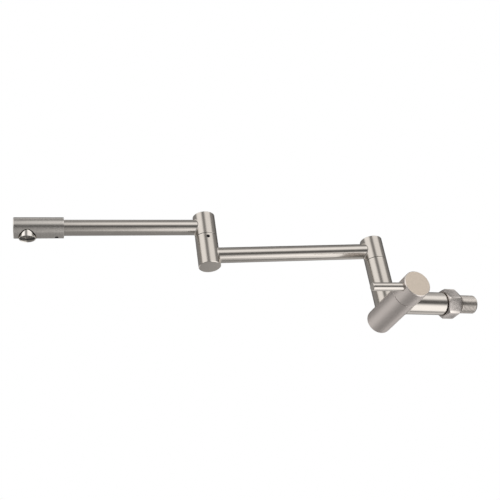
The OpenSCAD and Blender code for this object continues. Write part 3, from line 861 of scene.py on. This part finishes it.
@dataclass
class WallThread:
    """The helical thread of the nipple, worn low, with wide crests and narrow roots.

    form is one tooth, as pairs of place along the axis in pitches and height in depths.
    """

    start: float
    end: float
    crest_radius: float
    pitch: float = 1.814 * MM
    depth: float = 0.6 * MM
    wall: float = 0.9 * MM
    end_drop: float = 0.05 * MM
    steps: int = 72
    spare_teeth: int = 2
    first_tooth: float = -1.5
    form: tuple[tuple[float, float], ...] = (
        (-0.25, 0.9), (-0.18, 1.0), (0.18, 1.0), (0.25, 0.9),
        (0.36, 0.1), (0.42, 0.0), (0.58, 0.0), (0.64, 0.1),
    )

    @property
    def root_radius(self) -> float:
        """The radius at the bottom of the thread."""
        return self.crest_radius - self.depth

    def build(self) -> bmesh.types.BMesh:
        """Makes the thread as a closed sleeve about the X axis.

        Returns:
            The sleeve.
        """
        bm = bmesh.new()
        self._spin_form(bm)
        for place, side in ((self.start, -1.0), (self.end, 1.0)):
            bmesh.ops.bisect_plane(
                bm, geom=bm.verts[:] + bm.edges[:] + bm.faces[:], dist=MERGE_DISTANCE,
                plane_co=(place, 0.0, 0.0), plane_no=(side, 0.0, 0.0), clear_outer=True,
            )
        self._fade_ends(bm)
        rims = [edge for edge in bm.edges if edge.is_boundary]
        inner = bmesh.ops.extrude_edge_only(bm, edges=rims)["geom"]
        verts = [item for item in inner if isinstance(item, bmesh.types.BMVert)]
        self._set_radius(verts, self.root_radius - self.wall)
        bmesh.ops.bridge_loops(bm, edges=[item for item in inner if isinstance(item, bmesh.types.BMEdge)])
        bmesh.ops.recalc_face_normals(bm, faces=bm.faces)
        return bm

    def _spin_form(self, bm: bmesh.types.BMesh) -> None:
        """Spins a row of teeth once round the axis while it moves on by one pitch.

        Args:
            bm: The bmesh to fill.
        """
        teeth = math.ceil((self.end - self.start) / self.pitch) + self.spare_teeth
        row = []
        for tooth in range(teeth):
            for along, up in self.form:
                place = self.start + (tooth + self.first_tooth + along) * self.pitch
                row.append(bm.verts.new((place, 0.0, self.root_radius + up * self.depth)))
        chain = [bm.edges.new(pair) for pair in zip(row, row[1:])]
        bmesh.ops.spin(
            bm, geom=row + chain, cent=(0.0, 0.0, 0.0), axis=(1.0, 0.0, 0.0), angle=math.tau,
            steps=self.steps, dvec=(self.pitch / self.steps, 0.0, 0.0), use_merge=False, use_duplicate=False,
        )
        bmesh.ops.remove_doubles(bm, verts=bm.verts, dist=MERGE_DISTANCE)

    def _fade_ends(self, bm: bmesh.types.BMesh) -> None:
        """Cuts the tip's chamfer and lets the thread run out at its other end.

        Args:
            bm: The thread.
        """
        low = self.root_radius - self.end_drop
        for vert in bm.verts:
            room = min(vert.co.x - self.start, self.end - vert.co.x)
            self._set_radius([vert], min(vert.co.yz.length, low + max(0.0, room)))

    @staticmethod
    def _set_radius(verts: Sequence[bmesh.types.BMVert], radius: float) -> None:
        """Moves points straight out from the X axis to a radius."""
        for vert in verts:
            vert.co.yz = vert.co.yz * (radius / vert.co.yz.length)


@dataclass
class WallInlet:
    """The inlet at the wall: the threaded nipple, the union nut and washer, and the inlet tube."""

    layout: Layout
    thread_lead: float = 0.6 * MM
    tip_inset: float = 0.02 * MM
    core_gap: float = 0.1 * MM
    nut_edge: float = 0.45 * MM
    nut_edge_steps: int = 3
    nut_flat: float = 1.0
    nut_sharp: float = 20.0
    nut_bore_margin: float = 1.0 * MM
    corner_start: float = 15.9 * MM
    corner_full: float = 16.6 * MM

    def build(self) -> None:
        """Makes the nipple and the nut, and dresses the inlet."""
        axis = self.layout.inlet
        self._nipple()
        self._nut()
        dress("inlet_tube", Nickel.TUBE.value.material(axis))
        valve = self.layout.valve
        BrazeBead(
            "inlet_bead", "inlet_tube", valve, size_across("valve_body", 0) / 2,
            Axis(axis.nearest(valve.point), axis.direction), size_across("inlet_tube", 1) / 2,
        ).build()
        dress("union_washer", INNER_FINISHES["rubber"].material(axis))

    def _nipple(self) -> None:
        """Makes the nipple: a core with the node's own ends and bore, inside the threaded sleeve."""
        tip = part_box("inlet_nipple")[1].x
        nut_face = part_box("union_nut")[1].x
        verts = frame["nodes"]["inlet_nipple"].data.vertices
        tip_radius = max(vert.co.yz.length for vert in verts if vert.co.x > 0)
        thread = WallThread(nut_face - self.thread_lead, tip - self.tip_inset, tip_radius)
        core = node_copy("inlet_nipple")
        core_radius = thread.root_radius - self.core_gap
        for vert in core.verts:
            if vert.co.x > thread.start and vert.co.yz.length > core_radius:
                vert.co.yz = vert.co.yz * (core_radius / vert.co.yz.length)
        sleeve = bpy.data.meshes.new("thread_sleeve")
        threaded = thread.build()
        threaded.to_mesh(sleeve)
        threaded.free()
        core.from_mesh(sleeve)
        bpy.data.meshes.remove(sleeve)
        material = Nickel.THREAD.value.material(self.layout.inlet)
        seat_piece(new_object("wall_nipple", core), "inlet_nipple", material)

    def _nut(self) -> None:
        """Makes the union nut with the soft edges of a tumbled casting."""
        bm = node_copy("union_nut")
        bmesh.ops.dissolve_limit(
            bm, angle_limit=math.radians(self.nut_flat), use_dissolve_boundaries=False,
            verts=bm.verts, edges=bm.edges,
        )
        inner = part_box("inlet_tube")[1].z + self.nut_bore_margin
        sharp = [
            edge for edge in bm.edges
            if edge.calc_face_angle(0.0) > math.radians(self.nut_sharp)
            and min(radius_from(self.layout.inlet, vert.co) for vert in edge.verts) > inner
        ]
        bmesh.ops.bevel(
            bm, geom=sharp, offset=self.nut_edge, offset_type="OFFSET", affect="EDGES",
            segments=self.nut_edge_steps, profile=0.5, material=-1, clamp_overlap=True,
        )
        seat_piece(new_object("soft_union_nut", bm), "union_nut", self._nut_material())

    def _nut_material(self) -> bpy.types.Material:
        """Makes the nut's material: tumbled faces, and corners painted lighter as a painted highlight.

        Returns:
            The material.
        """
        graph = Graph.for_material("union_nut_nickel")
        place = graph.place(self.layout.inlet)
        faces = Nickel.NUT.value
        # Beyond this radius the corners are painted lighter and smoother: a painted highlight.
        corner = graph.away(place).step(self.corner_start, self.corner_full)
        painted_highlight = faces.surface(graph, place).under(corner, Nickel.PAINTED_HIGHLIGHT.value.surface(graph, place))
        return faces.shade(graph, painted_highlight)


@dataclass
class Valve:
    """The valve that lies across: its body, the knob and the lever."""

    layout: Layout
    face_depth: float = 0.12 * MM
    face_blend: float = 0.1 * MM
    rim_width: float = 0.6 * MM
    rim_width_blend: float = 0.4 * MM
    rim_depth: float = 0.6 * MM
    rim_depth_blend: float = 0.3 * MM

    def build(self) -> None:
        """Dresses the valve."""
        axis = self.layout.valve
        dress("valve_body", Nickel.SATIN.value.material(axis))
        dress("knob", self._knob_material())
        dress("lever_rod", Nickel.TUBE.value.material(self.layout.lever))

    def _knob_material(self) -> bpy.types.Material:
        """Makes the knob's material: a satin side, a faced front and a rim between them painted lighter, as a
        painted highlight.

        Returns:
            The material.
        """
        side, front = Nickel.SATIN.value, Nickel.FACE.value
        graph = Graph.for_material("knob_nickel")
        place = graph.place(self.layout.valve)
        face = self.layout.valve.point.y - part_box("knob")[0].y
        along = graph.node("ShaderNodeSeparateXYZ", {}, {"Vector": place}, "Z")
        edge = face - self.face_depth
        mask = along.step(edge, edge + self.face_blend)
        surface = side.surface(graph, place).under(mask, front.surface(graph, place))
        width_edge = size_across("knob", 0) / 2 - self.rim_width
        depth_edge = face - self.rim_depth
        # The rim is painted lighter and smoother: a painted highlight round the knob's front.
        rim = graph.away(place).step(width_edge - self.rim_width_blend, width_edge)
        rim = rim * along.step(depth_edge - self.rim_depth_blend, depth_edge)
        return side.shade(graph, surface.under(rim, side.painted_highlight_finish().surface(graph, place)))


@dataclass
class Posts:
    """The upright posts: the column with its swivel head, and the elbow."""

    layout: Layout

    def build(self) -> None:
        """Dresses the posts."""
        for axis, nodes in (
            (self.layout.column, ("column_tube", "column_head")),
            (self.layout.elbow, ("elbow_socket", "elbow_head")),
        ):
            for node in nodes:
                # Both ends of each piece get rims painted brighter: a painted highlight.
                dress(node, Nickel.POST.value.material(axis, span(node, axis)))


@dataclass
class Arms:
    """The two arm tubes, the spout's sleeve, and the beads where the tubes meet the posts."""

    layout: Layout

    def build(self) -> None:
        """Dresses the arms and makes their beads."""
        inner, outer, elbow = self.layout.inner_arm, self.layout.outer_arm, self.layout.elbow
        dress("inner_arm_tube", Nickel.TUBE.value.material(inner))
        dress("outer_arm_tube", Nickel.TUBE.value.material(outer))
        # Both ends of the sleeve get rims painted brighter: a painted highlight.
        dress("spout_sleeve", Nickel.SLEEVE.value.material(outer, span("spout_sleeve", outer)))
        back = Axis(inner.nearest(elbow.point), -inner.direction)
        for name, node, tube, post, arm in (
            ("column_head_bead", "column_head", "inner_arm_tube", self.layout.column, inner),
            ("elbow_socket_bead", "elbow_socket", "inner_arm_tube", elbow, back),
            ("elbow_head_bead", "elbow_head", "outer_arm_tube", elbow, outer),
        ):
            radius = size_across(node, 1) / 2
            BrazeBead(name, node, post, radius, arm, size_across(tube, 2) / 2).build()


@dataclass
class InnerWorks:
    """The pieces that are not nickel: seals, cartridge, set screws, nozzle and aerator."""

    layout: Layout

    def build(self) -> None:
        """Dresses each such piece by its slot, about the axis it is turned on."""
        for part in frame["record"]["subparts"]:
            node, finish = part["node"], INNER_FINISHES.get(part["material_slot"])
            if finish and node != "union_washer":
                dress(node, finish.material(self._axis(node)))

    def _axis(self, node: str) -> Axis:
        """Finds the axis that a piece is turned on, by the first word of its name.

        Args:
            node: The piece's node.

        Returns:
            The axis.
        """
        layout = self.layout
        owners = {
            "column": layout.column,
            "elbow": layout.elbow,
            "spout": layout.outer_arm,
            "outlet": layout.outlet,
            "aerator": layout.outlet,
        }
        return owners.get(node.split("_")[0], layout.valve)


def main() -> None:
    """Builds the object's looks, the studio and the camera."""
    logging.basicConfig(level=logging.INFO, format="%(message)s")
    bpy.context.scene.view_settings.view_transform = "Standard"
    layout = Layout()
    for assembly in (WallInlet(layout), Valve(layout), Posts(layout), Arms(layout), InnerWorks(layout)):
        assembly.build()
    Studio().build()
    PhotoCamera().build(layout.column.point)


if __name__ == "__main__":
    main()
